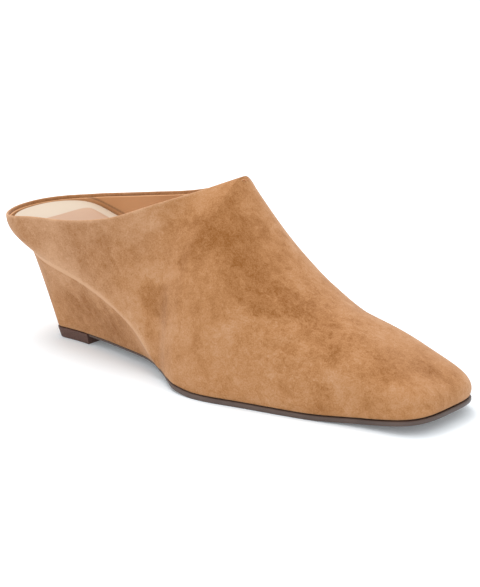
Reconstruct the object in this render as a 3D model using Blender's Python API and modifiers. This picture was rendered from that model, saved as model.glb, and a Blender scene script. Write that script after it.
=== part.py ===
"""A wedge mule for the right foot, standing empty on its sole.

+X runs to the toe and -Y is the outer (lateral) side. The upper is a hollow shell made of ribs: each rib is a
cubic curve from the shoe's lower edge up to the topline or, in the closed vamp, to the crown line. The insole,
the sock, the wedge's core and the gaps between them are read from the same ribs. Lengths are in metres.
"""

import bmesh
import bpy
import numpy as np

# Driving sizes
LENGTH = 0.2515  # back of the heel rim to the tip of the toe
BALL_WIDTH = 0.076  # across the upper's lower edge at the ball
RIM_WIDTH = 0.062  # across the topline round the heel
HEEL_HEIGHT = 0.0592  # floor to the rim at the back of the heel
INSTEP_HEIGHT = 0.0915  # floor to the peak of the topline
TOE_HEIGHT = 0.029  # floor to the crown line's front end
TOE_SPRING = 0.0052  # floor to the outsole under the tip of the toe
WAIST_LIFT = 0.0032  # floor to the outsole between lift and ball
HEEL_FLARE = 0.0135  # how far the rim overhangs the upper's lower edge at the back
PEAK_REACH = 0.1328  # back of the rim to the peak
CROWN_LENGTH = 0.09  # peak to the crown line's front end

# Thicknesses and clearances
WALL = 0.0021  # upper, suede and lining together
INSOLE_THICKNESS = 0.0035
SOCK_THICKNESS = 0.001
PAD_THICKNESS = 0.0008
OUTSOLE_THICKNESS = 0.0022
WAIST_THICKNESS = 0.0011  # of the outsole, where it is skived thin
CLEARANCE = 0.0003  # between pieces that touch
SOCK_INSET = 0.0012  # bare ring between the sock's edge and the upper
DISH = 0.0010  # how deep the footbed's middle lies at the heel
THINNEST_COVER = 0.001  # lowest visible wall of the wedge

# Wedge, outsole and top lift
WEDGE_SETBACK = 0.0306  # back of the rim to the back of the wedge's foot
LIFT_LENGTH = 0.0242
LIFT_PROUD = 0.0003
LIFT_RAKE = 0.0012  # how much further in the lift's rounded side lies at the floor
OUTSOLE_PROUD = 0.0008  # how far the outsole shows beyond the suede
WAIST_INSET = 0.0006  # how far it lies inside the wedge's foot

# Heel pad
PAD_SETBACK = 0.0212  # back of the rim to the pad's straight back edge
PAD_LENGTH = 0.078
PAD_SHARE = 0.66  # share of the rim's width

# Mesh fineness
HEEL_RIBS = 23
TOE_RIBS = 23
MESH_ROWS = np.linspace(0, 1, 11)  # places of the upper's mesh rows along each rib
CROSS_STRIPS = 6
FINE_ROWS = 80  # places along each rib where the footbed's meeting with the wall is looked for
PAD_STATIONS = 14
OUTSOLE_STATIONS = 38
LIFT_STATIONS = 14
CORE_ROWS = (0.3, 0.65)  # places of the wedge core's rows, as shares of the way up to its top
SHARP_ANGLE = 50  # degrees, from which an edge stays crisp
WELD = 0.00002  # points closer than this are joined


def table(columns, *rows):
    """A short table as arrays, one for each named column."""
    return dict(zip(columns.split(), np.array(rows).T))


# Lower edge of the upper: half widths as shares of BALL_WIDTH, and the ridge above the outsole as a share of
# the wedge's height. `along` is a share of LENGTH in every table that has it.
LAST = table(
    "along lateral medial ridge",
    (0.054, 0.303, 0.315, 0.797),
    (0.139, 0.350, 0.349, 0.660),
    (0.239, 0.380, 0.358, 0.563),
    (0.318, 0.403, 0.356, 0.441),
    (0.386, 0.423, 0.352, 0.275),
    (0.431, 0.440, 0.354, 0.084),
    (0.457, 0.458, 0.360, 0.000),
    (0.493, 0.524, 0.374, 0.000),
    (0.521, 0.562, 0.386, 0.000),
    (0.573, 0.583, 0.408, 0.000),
    (0.676, 0.522, 0.449, 0.000),
    (0.796, 0.440, 0.450, 0.000),
    (0.895, 0.352, 0.400, 0.000),
    (1.000, 0.296, 0.318, 0.000),
)

# Footbed above its level at the ball, as a share of its rise at the heel.
BED = table(
    "along rise",
    (0.000, 1.000),
    (0.060, 0.965),
    (0.139, 0.860),
    (0.239, 0.705),
    (0.358, 0.497),
    (0.457, 0.320),
    (0.557, 0.150),
    (0.620, 0.055),
    (0.680, 0.000),
    (1.000, 0.000),
)

# Top of the outsole, above its height under the ball: shares of WAIST_LIFT and TOE_SPRING.
GROUND = table(
    "along waist spring",
    (0.000, 1.00, 0.00),
    (0.440, 1.00, 0.00),
    (0.480, 0.74, 0.00),
    (0.520, 0.27, 0.00),
    (0.570, 0.00, 0.00),
    (0.776, 0.00, 0.00),
    (0.895, 0.00, 0.34),
    (1.000, 0.00, 1.00),
)

# Topline: `reach` is a share of PEAK_REACH, half widths are shares of RIM_WIDTH, and heights are shares of the
# climb from the heel to the peak.
RIM = table(
    "reach lateral medial lateral_climb medial_climb",
    (0.000, 0.448, 0.429, 0.000, 0.000),
    (0.090, 0.498, 0.458, 0.025, 0.018),
    (0.226, 0.500, 0.484, 0.106, 0.103),
    (0.414, 0.516, 0.513, 0.184, 0.234),
    (0.602, 0.505, 0.526, 0.335, 0.378),
    (0.790, 0.362, 0.439, 0.632, 0.619),
    (1.000, -0.058, 0.114, 1.000, 1.000),
)

# Crown line of the vamp: `reach` is a share of CROWN_LENGTH, `height` goes from TOE_HEIGHT to INSTEP_HEIGHT, and
# `medial` is its offset as a share of BALL_WIDTH.
CROWN = table(
    "reach height medial",
    (0.000, 1.000, 0.070),
    (0.247, 0.604, 0.033),
    (0.400, 0.405, 0.018),
    (0.600, 0.212, 0.006),
    (0.802, 0.118, -0.001),
    (1.000, 0.000, -0.009),
)

# Form of the ribs: how far they lean out at the bottom as a share of BALL_WIDTH, and the lengths of their two
# handles as shares of the rib's height and of its way in to the crown.
RIBS = table(
    "along lean belly crown",
    (0.054, 0.150, 0.32, 0.35),
    (0.159, 0.069, 0.36, 0.35),
    (0.278, 0.027, 0.36, 0.35),
    (0.398, 0.014, 0.40, 0.41),
    (0.497, 0.019, 0.41, 0.42),
    (0.597, 0.035, 0.45, 0.51),
    (0.716, 0.049, 0.49, 0.55),
    (0.855, 0.062, 0.52, 0.59),
    (1.000, 0.070, 0.47, 0.60),
)

# Foot of the wedge: half widths as shares of BALL_WIDTH.
FOOT = table(
    "along lateral medial",
    (0.122, 0.230, 0.224),
    (0.179, 0.229, 0.237),
    (0.254, 0.253, 0.262),
    (0.338, 0.304, 0.300),
    (0.392, 0.345, 0.325),
    (0.430, 0.399, 0.343),
    (0.457, 0.458, 0.360),
)

# Rounded ends of the outlines: their reach, and how square they are.
HEEL_ROUND = (0.0224, 2.73)
TOE_ROUND = (0.0202, 3.78)
RIM_ROUND = (0.0236, 2.14)
PEAK_ROUND = (0.0070, 2.0)
FOOT_ROUND = (0.0066, 2.4)
PAD_BACK_ROUND = (0.0060, 4.0)
PAD_FRONT_ROUND = (0.0250, 2.2)

RIDGE_END = 0.457  # where the ridge meets the outsole, as a share of LENGTH
SHOWING_START = 0.480  # from here the outsole comes out from under the suede, as a share of LENGTH
SHOWING_END = 0.540  # from here it is fully proud
CORE_END = 0.630  # where the wedge's core thins out, as a share of LENGTH
PEAK_STATION = 0.0033  # the peak's rib starts this far ahead of the peak
PEAK_BLEND = 0.045  # over this way the ribs change from upright to arched

WEDGE_HEIGHT = HEEL_HEIGHT - WAIST_LIFT - OUTSOLE_THICKNESS
STACK = SOCK_THICKNESS + INSOLE_THICKNESS + 2 * CLEARANCE
BED_RISE = WEDGE_HEIGHT - STACK


def read(columns, name, at, key="along"):
    """Reads a column at any place, by cubics that never overshoot the rows."""
    knots, values = columns[key], columns[name]
    steps = np.diff(values) / np.diff(knots)
    before, after = steps[:-1], steps[1:]
    same_way = before * after > 0
    mean = 2 * before * after / np.where(same_way, before + after, 1)
    slopes = np.concatenate([steps[:1], np.where(same_way, mean, 0), steps[-1:]])
    at = np.clip(at, knots[0], knots[-1])
    i = np.clip(np.searchsorted(knots, at, side="right") - 1, 0, len(knots) - 2)
    width = knots[i + 1] - knots[i]
    t = (at - knots[i]) / width
    start = (1 + 2 * t) * (1 - t) ** 2 * values[i] + t * (1 - t) ** 2 * width * slopes[i]
    end = t**2 * (3 - 2 * t) * values[i + 1] + t**2 * (t - 1) * width * slopes[i + 1]
    return start + end


def rounded(distance, reach_and_power):
    """A superellipse's quarter: 0 at an outline's end, 1 from its reach on."""
    reach, power = reach_and_power
    t = np.clip(distance / reach, 0, 1)
    return (1 - (1 - t) ** power) ** (1 / power)


def spread(start, end, count):
    """Places from start to end, closer together at both ends."""
    return start + (end - start) * (0.5 - 0.5 * np.cos(np.pi * np.linspace(0, 1, count)))


def sole_top(x):
    """Height of the outsole's top: raised in the waist, flat under the ball, sprung at the toe."""
    share = x / LENGTH
    lift = WAIST_LIFT * read(GROUND, "waist", share) + TOE_SPRING * read(GROUND, "spring", share)
    return OUTSOLE_THICKNESS + lift


def underside(x):
    """Height of the outsole's underside. It is skived thin in the waist."""
    skived = (OUTSOLE_THICKNESS - WAIST_THICKNESS) * read(GROUND, "waist", x / LENGTH)
    return sole_top(x) - OUTSOLE_THICKNESS + skived


def last_width(x, side):
    return BALL_WIDTH * read(LAST, side, x / LENGTH)


def bed_height(x, y, drop=0.0):
    """Height of the footbed, dished across the heel, or of a layer that lies `drop` below it."""
    rise = read(BED, "rise", x / LENGTH)
    lateral, medial = last_width(x, "lateral"), last_width(x, "medial")
    across = (2 * y - medial + lateral) / (medial + lateral)
    dish = DISH * rise * np.clip(1 - across**2, 0, 1)
    return sole_top(x) + STACK + BED_RISE * rise - dish - drop


def between(lateral, medial, ends):
    """The two edges of an outline, from its half widths on each side and its rounding towards its ends."""
    centre = (medial - lateral) / 2
    half = (medial + lateral) / 2 * ends
    return centre - half, centre + half


def lower_edge(x):
    """Both edges of the upper's lower outline, with their height: the ridge, then the top of the outsole."""
    ends = rounded(x - HEEL_FLARE, HEEL_ROUND) * rounded(LENGTH - x, TOE_ROUND)
    lateral, medial = between(last_width(x, "lateral"), last_width(x, "medial"), ends)
    height = sole_top(x) + CLEARANCE + WEDGE_HEIGHT * read(LAST, "ridge", x / LENGTH)
    return [np.stack([x, side, height], axis=-1) for side in (lateral, medial)]


def topline(x):
    """Both sides of the open rim, from the back of the heel to the peak."""
    reach = x / PEAK_REACH
    widths = [RIM_WIDTH * read(RIM, side, reach, "reach") for side in ("lateral", "medial")]
    edges = between(*widths, rounded(x, RIM_ROUND) * rounded(PEAK_REACH - x, PEAK_ROUND))
    climbs = [read(RIM, side, reach, "reach") for side in ("lateral_climb", "medial_climb")]
    climb_height = INSTEP_HEIGHT - HEEL_HEIGHT
    return [np.stack([x, y, HEEL_HEIGHT + climb_height * c], axis=-1) for y, c in zip(edges, climbs)]


def crown_line(x):
    """The middle line of the closed vamp, from the peak to the toe."""
    reach = (x - PEAK_REACH) / CROWN_LENGTH
    height = TOE_HEIGHT + (INSTEP_HEIGHT - TOE_HEIGHT) * read(CROWN, "height", reach, "reach")
    return np.stack([x, BALL_WIDTH * read(CROWN, "medial", reach, "reach"), height], axis=-1)


def unit(vectors):
    return vectors / (np.linalg.norm(vectors, axis=-1, keepdims=True) + 1e-12)


def rib_stations():
    """Where each rib starts on the lower edge and ends on the topline or the crown line."""
    peak_start = PEAK_REACH + PEAK_STATION
    starts = np.concatenate(
        [spread(HEEL_FLARE, peak_start, HEEL_RIBS), spread(peak_start, LENGTH, TOE_RIBS)[1:]]
    )
    ends = np.concatenate(
        [spread(0, PEAK_REACH, HEEL_RIBS), PEAK_REACH + spread(0, CROWN_LENGTH, TOE_RIBS)[1:]]
    )
    return starts, ends


def rib_handles():
    """The four control points of every rib, for the lateral and then the medial side."""
    starts, ends = rib_stations()
    closed = np.arange(len(starts)) >= HEEL_RIBS - 1
    crown = crown_line(np.maximum(ends, PEAK_REACH))
    slope = np.gradient(crown[:, 2]) / (np.gradient(crown[:, 0]) + 1e-9)
    slope = np.where(closed, slope, slope[HEEL_RIBS - 1])
    share = starts / LENGTH
    lean = BALL_WIDTH * read(RIBS, "lean", share)[:, None]
    arched = np.clip((starts - starts[HEEL_RIBS - 1]) / PEAK_BLEND + 1, 0, 1)
    arched = (arched**2 * (3 - 2 * arched))[:, None]
    sides = []
    for foot, rim, sign in zip(lower_edge(starts), topline(np.minimum(ends, PEAK_REACH)), (-1, 1)):
        top = np.where(closed[:, None], crown, rim)
        run = np.gradient(foot[:, :2], axis=0)
        run[0] = (0, sign)
        run[-1] = (0, -sign)
        out = unit(np.stack([-run[:, 1] * sign, run[:, 0] * sign], axis=-1))
        rise = (top - foot)[:, 2:]
        way_in = top[:, :2] - foot[:, :2]
        low = foot + np.hstack([out * lean, rise * read(RIBS, "belly", share)[:, None]])
        reach_in = -way_in * read(RIBS, "crown", share)[:, None]
        arch = top + np.column_stack([reach_in, slope * reach_in[:, 0]])
        upright = top - np.hstack([0 * out, rise * read(RIBS, "crown", share)[:, None]])
        high = upright * (1 - arched) + arch * arched
        sides.append((foot, low, high, top))
    return sides


def as_ring(lateral, medial):
    """One closed round: the lateral side from heel to toe, then the medial side back."""
    return np.concatenate([lateral, medial[-2:0:-1]])


def as_sides(ring):
    """The lateral and the medial side of a ring, each from heel to toe."""
    count = len(ring) // 2 + 1
    return ring[:count], np.concatenate([ring[:1], ring[: count - 1 : -1], ring[count - 1 : count]])


def wall(depth, rows):
    """The upper's surface, a ring of ribs by rows, moved in from its outside by a depth.

    The way in is square to the surface. At both ends of a rib it is that of the mesh's last strip there.
    """
    handles = [as_ring(*pair)[:, None] for pair in zip(*rib_handles())]

    def along_ribs(v):
        foot, low, high, top = handles
        return (1 - v) ** 3 * foot + 3 * (1 - v) ** 2 * v * low + 3 * (1 - v) * v**2 * high + v**3 * top

    half_strip = MESH_ROWS[1] / 2
    inner = np.clip(rows, half_strip, 1 - half_strip)[None, :, None]
    skin = along_ribs(inner)
    round_it = np.roll(skin, -1, axis=0) - np.roll(skin, 1, axis=0)
    up_it = along_ribs(inner + half_strip) - along_ribs(inner - half_strip)
    return along_ribs(rows[None, :, None]) - depth * unit(np.cross(round_it, up_it))


def up_ribs(skin, places):
    """The ring of points at one place on each rib, counted in rows from the bottom."""
    row = np.clip(places.astype(int), 0, skin.shape[1] - 2)
    part = (places - row)[:, None]
    ribs = np.arange(len(skin))
    return skin[ribs, row] * (1 - part) + skin[ribs, row + 1] * part


def meeting(skin, drop):
    """The place on each rib, counted in rows, where a layer of the footbed meets the wall."""
    over = skin[..., 2] - bed_height(skin[..., 0], skin[..., 1], drop)
    after = np.clip((over > 0).argmax(axis=1), 1, FINE_ROWS - 1)
    ribs = np.arange(len(skin))
    low, high = over[ribs, after - 1], over[ribs, after]
    return after - 1 + np.clip(-low / (high - low), 0, 1)


def at_height(depth, drop):
    """The ring where the inside of the wall meets a layer of the footbed. Below the wall it runs straight down."""
    inside = wall(depth, np.linspace(0, 1, FINE_ROWS))
    ring = up_ribs(inside, meeting(inside, drop))
    ring[:, 2] = bed_height(ring[:, 0], ring[:, 1], drop)
    return ring


def straight_across(lateral, medial):
    """A grid of straight strips from one edge to the other."""
    t = np.linspace(0, 1, CROSS_STRIPS + 1)[None, :, None]
    return lateral[:, None] * (1 - t) + medial[:, None] * t


def plate(lateral, medial, height):
    """Strips across, with the height that a function gives."""
    grid = straight_across(lateral, medial)
    grid[..., 2] = height(grid[..., 0], grid[..., 1])
    return grid


def border(grid):
    """The grid's outer round of points, in order."""
    return np.concatenate([grid[:, 0], grid[-1, 1:-1], grid[::-1, -1], grid[0, -2:0:-1]])


def grid_faces(rows, columns, closed=False):
    """Quads of a grid of points, its rows joined to the first again where it is closed."""
    index = np.arange(rows * columns).reshape(rows, columns)
    after = np.roll(index, -1, axis=0)
    if not closed:
        index, after = index[:-1], after[:-1]
    corners = (index[:, :-1], after[:, :-1], after[:, 1:], index[:, 1:])
    return np.stack(corners, axis=-1).reshape(-1, 4)


def new_object(name, points, faces, surface, solid):
    """A smooth mesh object. Faces that share a place share its points, and a solid's faces point out."""
    mesh = bpy.data.meshes.new(name)
    mesh.from_pydata(points.tolist(), [], faces.tolist())
    shape = bmesh.new()
    shape.from_mesh(mesh)
    bmesh.ops.remove_doubles(shape, verts=shape.verts, dist=WELD)
    if solid:
        bmesh.ops.recalc_face_normals(shape, faces=shape.faces)
    shape.to_mesh(mesh)
    shape.free()
    mesh.shade_smooth()
    mesh.set_sharp_from_angle(angle=np.radians(SHARP_ANGLE))
    mesh.materials.append(surface)
    piece = bpy.data.objects.new(name, mesh)
    mule.objects.link(piece)
    return piece


def layered(name, bottom, rings, top, surface):
    """A solid between two grids, its side passing through rings of points between their borders."""
    rounds = np.stack([border(bottom), *rings, border(top)], axis=1)
    points = [bottom.reshape(-1, 3), top.reshape(-1, 3), rounds.reshape(-1, 3)]
    cap = grid_faces(*bottom.shape[:2])
    side = grid_faces(*rounds.shape[:2], closed=True)
    faces = [cap, cap + bottom.shape[0] * bottom.shape[1], side + len(points[0]) + len(points[1])]
    return new_object(name, np.concatenate(points), np.concatenate(faces), surface, solid=True)


def plain_material(name, colour, roughness):
    """A plain material of one colour, given as linear red, green and blue."""
    made = bpy.data.materials.new(name)
    made.use_nodes = True
    shader = made.node_tree.nodes["Principled BSDF"]
    shader.inputs["Base Color"].default_value = (*colour, 1)
    shader.inputs["Roughness"].default_value = roughness
    shader.inputs["Metallic"].default_value = 0
    return made


def make_upper():
    """One suede shell with a wall of even thickness, open at the topline and underneath."""
    skin = wall(0, MESH_ROWS)
    faces = grid_faces(*skin.shape[:2], closed=True)
    upper = new_object("upper", skin.reshape(-1, 3), faces, SUEDE, solid=False)
    thickness = upper.modifiers.new("wall", "SOLIDIFY")
    thickness.thickness = WALL
    thickness.offset = -1
    thickness.use_even_offset = True
    return upper


def make_footbed_layer(name, inset, top_drop, thickness, surface):
    """Insole or sock: a sheet that fills the upper from wall to wall, less an inset."""

    def layer(drop):
        edges = as_sides(at_height(WALL + CLEARANCE + inset, drop))
        return plate(*edges, lambda x, y: bed_height(x, y, drop))

    return layered(name, layer(top_drop + thickness), [], layer(top_drop), surface)


def make_heel_pad():
    """A thin panel on the sock, straight across at the back with rounded corners."""
    front = PAD_SETBACK + PAD_LENGTH
    x = spread(PAD_SETBACK, front, PAD_STATIONS)
    reach = x / PEAK_REACH
    widths = [PAD_SHARE * RIM_WIDTH * read(RIM, side, reach, "reach") for side in ("lateral", "medial")]
    ends = rounded(x - PAD_SETBACK, PAD_BACK_ROUND) * rounded(front - x, PAD_FRONT_ROUND)
    edges = [np.stack([x, y, 0 * x], axis=-1) for y in between(*widths, ends)]
    low, high = -CLEARANCE, -CLEARANCE - PAD_THICKNESS
    bottom = plate(*edges, lambda x, y: bed_height(x, y, low))
    top = plate(*edges, lambda x, y: bed_height(x, y, high))
    return layered("heel_pad", bottom, [], top, TAN_LEATHER)


def foot_edges(x, proud=0.0):
    """Both edges of the wedge's foot, rounded at the back, moved out by an amount."""
    widths = [BALL_WIDTH * read(FOOT, side, x / LENGTH) + proud for side in ("lateral", "medial")]
    return between(*widths, rounded(x - WEDGE_SETBACK + proud, FOOT_ROUND))


def make_wedge():
    """The covered wedge: its wall slants in from the ridge to the foot, and its core fills the upper's back.

    Ahead of the ridge's end only the core goes on, inside the upper and on the outsole, until it thins out.
    """
    depth = WALL + CLEARANCE
    starts = rib_stations()[0]
    kept = np.count_nonzero(starts <= CORE_END * LENGTH)
    starts = starts[:kept]
    cover = WEDGE_HEIGHT * read(LAST, "ridge", starts / LENGTH)
    covered = (cover > THINNEST_COVER)[:, None]
    inside = wall(depth, np.linspace(0, 1, FINE_ROWS))
    outer_edge, first_row = wall(0, MESH_ROWS[:2]).swapaxes(0, 1)
    step_down = CLEARANCE * unit(outer_edge - first_row)
    places = meeting(inside, STACK)
    core_rings = [up_ribs(inside, places * share) for share in CORE_ROWS]

    ledge = [side[:kept] for side in as_sides(inside[:, 0] + step_down)]
    floor = [np.column_stack([side[:, :2], sole_top(side[:, 0]) + CLEARANCE]) for side in ledge]
    ledge = [np.where(covered, side, low) for side, low in zip(ledge, floor)]
    ridge = [side[:kept] for side in as_sides(outer_edge + step_down)]
    ridge = [np.where(covered, side, low) for side, low in zip(ridge, floor)]
    ridge_end = RIDGE_END * LENGTH
    foot_x = WEDGE_SETBACK + (ridge_end - WEDGE_SETBACK) * (starts - HEEL_FLARE) / (ridge_end - HEEL_FLARE)
    foot_height = sole_top(foot_x) + CLEARANCE
    foot = [
        np.where(covered, np.stack([foot_x, y, foot_height], axis=-1), low)
        for y, low in zip(foot_edges(foot_x), floor)
    ]
    core = [side[:kept] for side in as_sides(at_height(depth, STACK))]
    bottom = plate(*foot, lambda x, y: sole_top(x) + CLEARANCE)
    top = plate(*core, lambda x, y: bed_height(x, y, STACK))
    sides = [ridge, ledge] + [[side[:kept] for side in as_sides(ring)] for ring in core_rings]
    rings = [border(straight_across(*pair)) for pair in sides]
    return layered("wedge", bottom, rings, top, SUEDE)


def make_outsole():
    """A thin sheet from the lift's front to the toe: tucked in along the waist, proud round the forepart."""
    x = spread(WEDGE_SETBACK + LIFT_LENGTH + CLEARANCE, LENGTH + OUTSOLE_PROUD, OUTSOLE_STATIONS)
    showing = np.clip((x / LENGTH - SHOWING_START) / (SHOWING_END - SHOWING_START), 0, 1)
    proud = (WAIST_INSET + OUTSOLE_PROUD) * showing**2 * (3 - 2 * showing) - WAIST_INSET
    in_waist = x < RIDGE_END * LENGTH
    foot = [BALL_WIDTH * read(FOOT, side, x / LENGTH) for side in ("lateral", "medial")]
    last = [last_width(x, side) for side in ("lateral", "medial")]
    widths = [np.where(in_waist, low, high) + proud for low, high in zip(foot, last)]
    lines = between(*widths, rounded(LENGTH + OUTSOLE_PROUD - x, TOE_ROUND))
    edges = [np.stack([x, y, 0 * x], axis=-1) for y in lines]
    bottom = plate(*edges, lambda x, y: underside(x))
    top = plate(*edges, lambda x, y: sole_top(x))
    return layered("outsole", bottom, [], top, BROWN_RUBBER)


def make_top_lift():
    """A D-shaped lift under the back of the wedge, cut straight across at its front and raked in round it."""
    front = WEDGE_SETBACK + LIFT_LENGTH

    def layer(proud, level):
        x = front - (LIFT_LENGTH + proud) * (1 - np.linspace(0, 1, LIFT_STATIONS) ** 2)
        edges = [np.stack([x, y, 0 * x], axis=-1) for y in foot_edges(x, proud)]
        return plate(*edges, lambda x, y: level + 0 * x)

    top = layer(LIFT_PROUD, WAIST_LIFT + OUTSOLE_THICKNESS)
    return layered("top_lift", layer(LIFT_PROUD - LIFT_RAKE, 0), [], top, BROWN_RUBBER)


for old in list(bpy.data.objects):
    bpy.data.objects.remove(old)

mule = bpy.data.collections.new("wedge_mule")
bpy.context.scene.collection.children.link(mule)

SUEDE = plain_material("suede", (0.45, 0.22, 0.095), 0.95)
CREAM_LEATHER = plain_material("cream_leather", (0.86, 0.71, 0.57), 0.5)
TAN_LEATHER = plain_material("tan_leather", (0.74, 0.47, 0.33), 0.55)
BROWN_RUBBER = plain_material("brown_rubber", (0.10, 0.045, 0.03), 0.6)

middle = bpy.data.objects.new("middle", None)
mule.objects.link(middle)
pieces = [
    make_upper(),
    make_wedge(),
    make_footbed_layer("insole", 0, SOCK_THICKNESS + CLEARANCE, INSOLE_THICKNESS, TAN_LEATHER),
    make_footbed_layer("sock", SOCK_INSET, 0, SOCK_THICKNESS, CREAM_LEATHER),
    make_heel_pad(),
    make_outsole(),
    make_top_lift(),
]
for piece in pieces:
    piece.parent = middle

# The origin is on the floor, under the middle of the shoe's outline.
outline = np.array([point.co for piece in pieces for point in piece.data.vertices])[:, :2]
low, high = outline.min(axis=0), outline.max(axis=0)
middle.location = (*(-(low + high) / 2), 0)
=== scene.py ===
"""The looks of a wedge mule for the right foot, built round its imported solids. Lengths are in metres."""

import bmesh
import bpy
import numpy as np
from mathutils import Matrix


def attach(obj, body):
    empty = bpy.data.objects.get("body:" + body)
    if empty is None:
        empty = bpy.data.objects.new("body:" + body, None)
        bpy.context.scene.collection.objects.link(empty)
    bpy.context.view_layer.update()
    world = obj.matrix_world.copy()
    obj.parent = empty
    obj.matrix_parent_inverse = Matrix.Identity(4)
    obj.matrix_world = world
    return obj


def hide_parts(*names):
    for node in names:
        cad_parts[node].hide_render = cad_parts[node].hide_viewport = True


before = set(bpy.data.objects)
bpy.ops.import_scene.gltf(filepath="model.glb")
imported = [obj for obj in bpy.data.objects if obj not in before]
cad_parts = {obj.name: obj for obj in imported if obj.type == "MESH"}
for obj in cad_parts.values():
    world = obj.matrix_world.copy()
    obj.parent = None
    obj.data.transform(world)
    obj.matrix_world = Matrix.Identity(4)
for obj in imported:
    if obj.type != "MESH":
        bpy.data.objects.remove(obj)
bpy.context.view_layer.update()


# Upper
# One soft suede shell, cut on the last: a closed vamp that rises to a peak and runs on as a low wall
# round the heel. Its topline is folded over, its back turned round the ridge, its front lasted under. Its
# ribs are cubic curves, each from the lower edge up to the topline or to the vamp's crown line.
MIDDLE = np.array((-0.12623, 0.0050, 0.0))  # the back of the heel rim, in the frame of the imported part
LENGTH = 0.2515
BALL_WIDTH = 0.076
RIM_WIDTH = 0.062
HEEL_HEIGHT = 0.0592
INSTEP_HEIGHT = 0.0915
TOE_HEIGHT = 0.029
TOE_SPRING = 0.0052
WAIST_LIFT = 0.0032
HEEL_FLARE = 0.0135  # how far the back of the ridge lies in from the back of the rim
PEAK_REACH = 0.1328
CROWN_LENGTH = 0.09
PEAK_STATION = 0.0033  # how far ahead of the peak its rib starts on the lower edge
PEAK_BLEND = 0.045  # the stretch before that rib over which upright ribs become arched ones
PEAK_FADE = 0.008  # how far from the peak the painted shade of the groove under the topline has its full depth
OUTSOLE_THICKNESS = 0.0022
CLEARANCE = 0.0003
WEDGE_HEIGHT = HEEL_HEIGHT - WAIST_LIFT - OUTSOLE_THICKNESS
# Rounded ends of the outlines: how far each reaches, and its power as a superellipse.
HEEL_ROUND = (0.0224, 2.73)
TOE_ROUND = (0.0202, 3.78)
RIM_ROUND = (0.0236, 2.14)
PEAK_ROUND = (0.0070, 2.0)
SUEDE_THICKNESS = 0.0012
FOLD_PULL = 0.004  # how far down a drawn-back topline still pulls the leather
# How far from the ridge its rounding starts, in the waist and at the heel, and from what share of the
# wedge's height and over what share it changes.
CRISP_TURN, SOFT_TURN = 0.0009, 0.0018
TURN_CHANGE, TURN_CHANGE_LENGTH = 0.45, 0.3
SHALLOW_WEDGE = 0.006  # the height of wedge from which the lower edge turns down its wall
HEEL_RIBS, TOE_RIBS = 124, 100
SHARP_ANGLE = np.radians(42)
SAME_PLACE = 0.000004  # points that lie closer together than this are one


def table(columns, *rows):
    """A short table as arrays, one for each named column."""
    return dict(zip(columns.split(), np.array(rows).T))


# `along` is a share of LENGTH. Lower edge: half widths as shares of BALL_WIDTH, and the ridge as a share
# of WEDGE_HEIGHT.
LAST = table(
    "along lateral medial ridge",
    (0.054, 0.303, 0.315, 0.797),
    (0.139, 0.350, 0.349, 0.660),
    (0.239, 0.380, 0.358, 0.563),
    (0.318, 0.403, 0.356, 0.441),
    (0.386, 0.423, 0.352, 0.275),
    (0.431, 0.440, 0.354, 0.084),
    (0.457, 0.458, 0.360, 0.000),
    (0.493, 0.524, 0.374, 0.000),
    (0.521, 0.562, 0.386, 0.000),
    (0.573, 0.583, 0.408, 0.000),
    (0.676, 0.522, 0.449, 0.000),
    (0.796, 0.440, 0.450, 0.000),
    (0.895, 0.352, 0.400, 0.000),
    (1.000, 0.296, 0.318, 0.000),
)
# Top of the outsole, above its height under the ball: shares of WAIST_LIFT and TOE_SPRING.
GROUND = table(
    "along waist spring",
    (0.000, 1.00, 0.00),
    (0.440, 1.00, 0.00),
    (0.480, 0.74, 0.00),
    (0.520, 0.27, 0.00),
    (0.570, 0.00, 0.00),
    (0.776, 0.00, 0.00),
    (0.895, 0.00, 0.34),
    (1.000, 0.00, 1.00),
)
# Topline: shares of PEAK_REACH, of RIM_WIDTH and of the climb from heel to peak.
RIM = table(
    "reach lateral medial lateral_climb medial_climb",
    (0.000, 0.448, 0.429, 0.000, 0.000),
    (0.090, 0.498, 0.458, 0.025, 0.018),
    (0.226, 0.500, 0.484, 0.106, 0.103),
    (0.414, 0.516, 0.513, 0.184, 0.234),
    (0.602, 0.505, 0.526, 0.335, 0.378),
    (0.790, 0.362, 0.439, 0.632, 0.619),
    (1.000, -0.058, 0.114, 1.000, 1.000),
)
# Crown line: shares of CROWN_LENGTH, of the fall from peak to toe, and of BALL_WIDTH.
CROWN = table(
    "reach height medial",
    (0.000, 1.000, 0.070),
    (0.247, 0.604, 0.033),
    (0.400, 0.405, 0.018),
    (0.600, 0.212, 0.006),
    (0.802, 0.118, -0.001),
    (1.000, 0.000, -0.009),
)
# Ribs: their lean at the bottom, and the lengths of their two handles.
RIBS = table(
    "along lean belly crown",
    (0.054, 0.150, 0.32, 0.35),
    (0.159, 0.069, 0.36, 0.35),
    (0.278, 0.027, 0.36, 0.35),
    (0.398, 0.014, 0.40, 0.41),
    (0.497, 0.019, 0.41, 0.42),
    (0.597, 0.035, 0.45, 0.51),
    (0.716, 0.049, 0.49, 0.55),
    (0.855, 0.062, 0.52, 0.59),
    (1.000, 0.070, 0.47, 0.60),
)
# Foot of the wedge: half widths as shares of BALL_WIDTH.
FOOT = table(
    "along lateral medial",
    (0.122, 0.230, 0.224),
    (0.179, 0.229, 0.237),
    (0.254, 0.253, 0.262),
    (0.338, 0.304, 0.300),
    (0.392, 0.345, 0.325),
    (0.430, 0.399, 0.343),
    (0.457, 0.458, 0.360),
)
WEDGE_SETBACK = 0.0306  # how far the back of the foot lies in from the back of the rim
RIDGE_END = 0.457  # where the ridge runs out, as a share of LENGTH
FOOT_ROUND = (0.0066, 2.4)


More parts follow.
